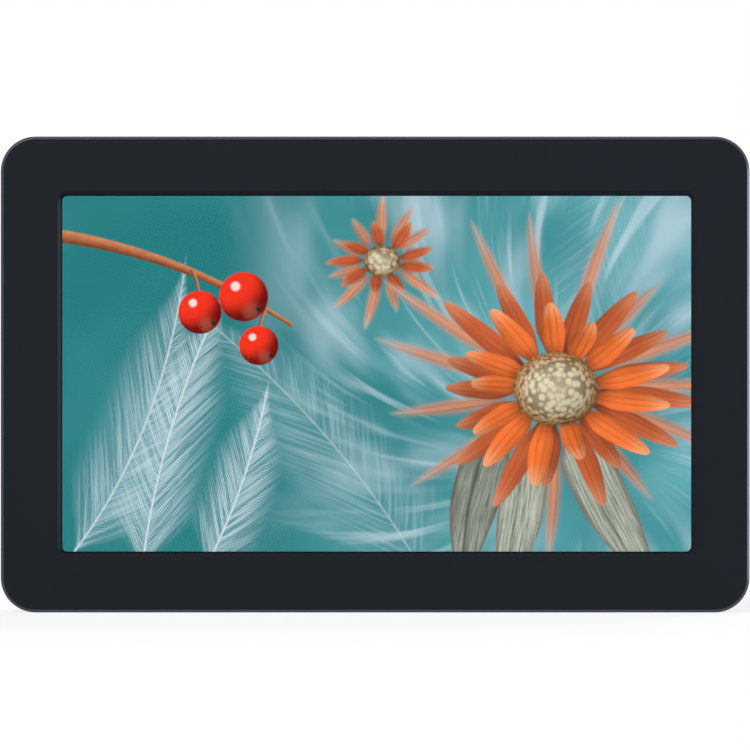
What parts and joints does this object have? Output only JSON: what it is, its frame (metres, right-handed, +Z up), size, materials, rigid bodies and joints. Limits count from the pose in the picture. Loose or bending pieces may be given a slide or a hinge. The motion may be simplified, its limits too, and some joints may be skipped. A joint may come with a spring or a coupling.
{
  "type": "camera field monitor",
  "caption": "Flat rectangular field monitor with a bevelled screen bezel, side sockets, threaded mounting holes, a top power button and a slide-on battery plate with a sprung latch.",
  "frame": {"origin": "middle of the bottom side, half way through the depth, on the surface that the monitor stands on", "axes": "+Z up, +X to the right of someone who looks at the screen, -Y out of the screen towards the viewer"},
  "size_m": [0.146, 0.02, 0.0928],
  "materials": {
    "frame_metal": "dark grey anodised aluminium, satin, with a bright cut bevel round the front edge",
    "bezel_plastic": "charcoal, very fine moulded grain",
    "touch_glass": "clear polished cover glass",
    "black_foam": "thin black foam gasket",
    "display_picture": "lit display cell with a picture on it",
    "white_film": "white diffusing film",
    "clear_acrylic": "clear acrylic",
    "tray_steel": "pressed thin steel sheet",
    "led_package": "white light emitters on a thin strip",
    "spreader_aluminium": "bare machined aluminium",
    "small_screw_steel": "zinc plated small screws",
    "circuit_board": "green solder mask over fibreglass board",
    "chip_epoxy": "moulded chip package",
    "pad_silicone": "soft grey-blue thermal pad",
    "component_body": "small moulded electronic parts",
    "connector_nylon": "cream nylon connector housings",
    "ribbon_film": "amber flexible printed circuit",
    "socket_black": "black moulded socket",
    "socket_steel": "plated folded steel shell",
    "button_plastic": "satin dark grey key",
    "insert_steel": "nickel plated threaded insert",
    "cover_plastic": "dark grey moulded cover with fine grain",
    "black_screw_steel": "black oxide steel",
    "plate_plastic": "black glass-filled nylon",
    "contact_gold": "gold plated spring contacts",
    "lead_insulation": "soft insulated wire",
    "latch_plastic": "satin dark grey catch",
    "spring_steel": "bright spring wire"
  },
  "bodies": {
    "housing": {"top_rail": "frame_metal", "bottom_rail": "frame_metal", "left_rail": "frame_metal", "right_rail": "frame_metal", "front_bezel": "bezel_plastic", "touch_glass": "touch_glass", "glass_gasket": "black_foam", "lcd_cell": "display_picture", "diffuser_sheet": "white_film", "light_guide": "clear_acrylic", "backlight_tray": "tray_steel", "led_strip": "led_package", "heat_spreader": "spreader_aluminium", "spreader_screws": "small_screw_steel", "main_board": "circuit_board", "processor_chip": "chip_epoxy", "memory_chips": "chip_epoxy", "thermal_pad": "pad_silicone", "board_components": "component_body", "board_connectors": "connector_nylon", "board_screws": "small_screw_steel", "display_ribbon": "ribbon_film", "touch_ribbon": "ribbon_film", "headphone_socket": "socket_black", "video_socket": "socket_steel", "data_socket": "socket_steel", "power_outlet": "socket_black", "button_board": "circuit_board", "power_switch": "component_body", "light_pipe": "clear_acrylic", "button_ribbon": "ribbon_film", "bottom_insert": "insert_steel", "top_insert": "insert_steel", "side_insert": "insert_steel", "rear_cover": "cover_plastic", "housing_screws": "black_screw_steel", "battery_plate": "plate_plastic", "battery_plate_screws": "small_screw_steel", "battery_contacts": "contact_gold", "battery_leads": "lead_insulation", "latch_spring": "spring_steel"},
    "button": {"power_button": "button_plastic"},
    "latch": {"battery_latch": "latch_plastic"}
  },
  "joints": [
    {"name": "power_press", "type": "slide", "parent": "housing", "child": "button", "axis": [0, 0, -1], "range_m": [0, 0.00035], "stiffness_N_per_m": 1000, "springref_m": -0.001},
    {"name": "latch_press", "type": "slide", "parent": "housing", "child": "latch", "axis": [0, -1, 0], "range_m": [0, 0.0024], "stiffness_N_per_m": 800, "springref_m": -0.001, "deforming": ["latch_spring"]}
  ]
}
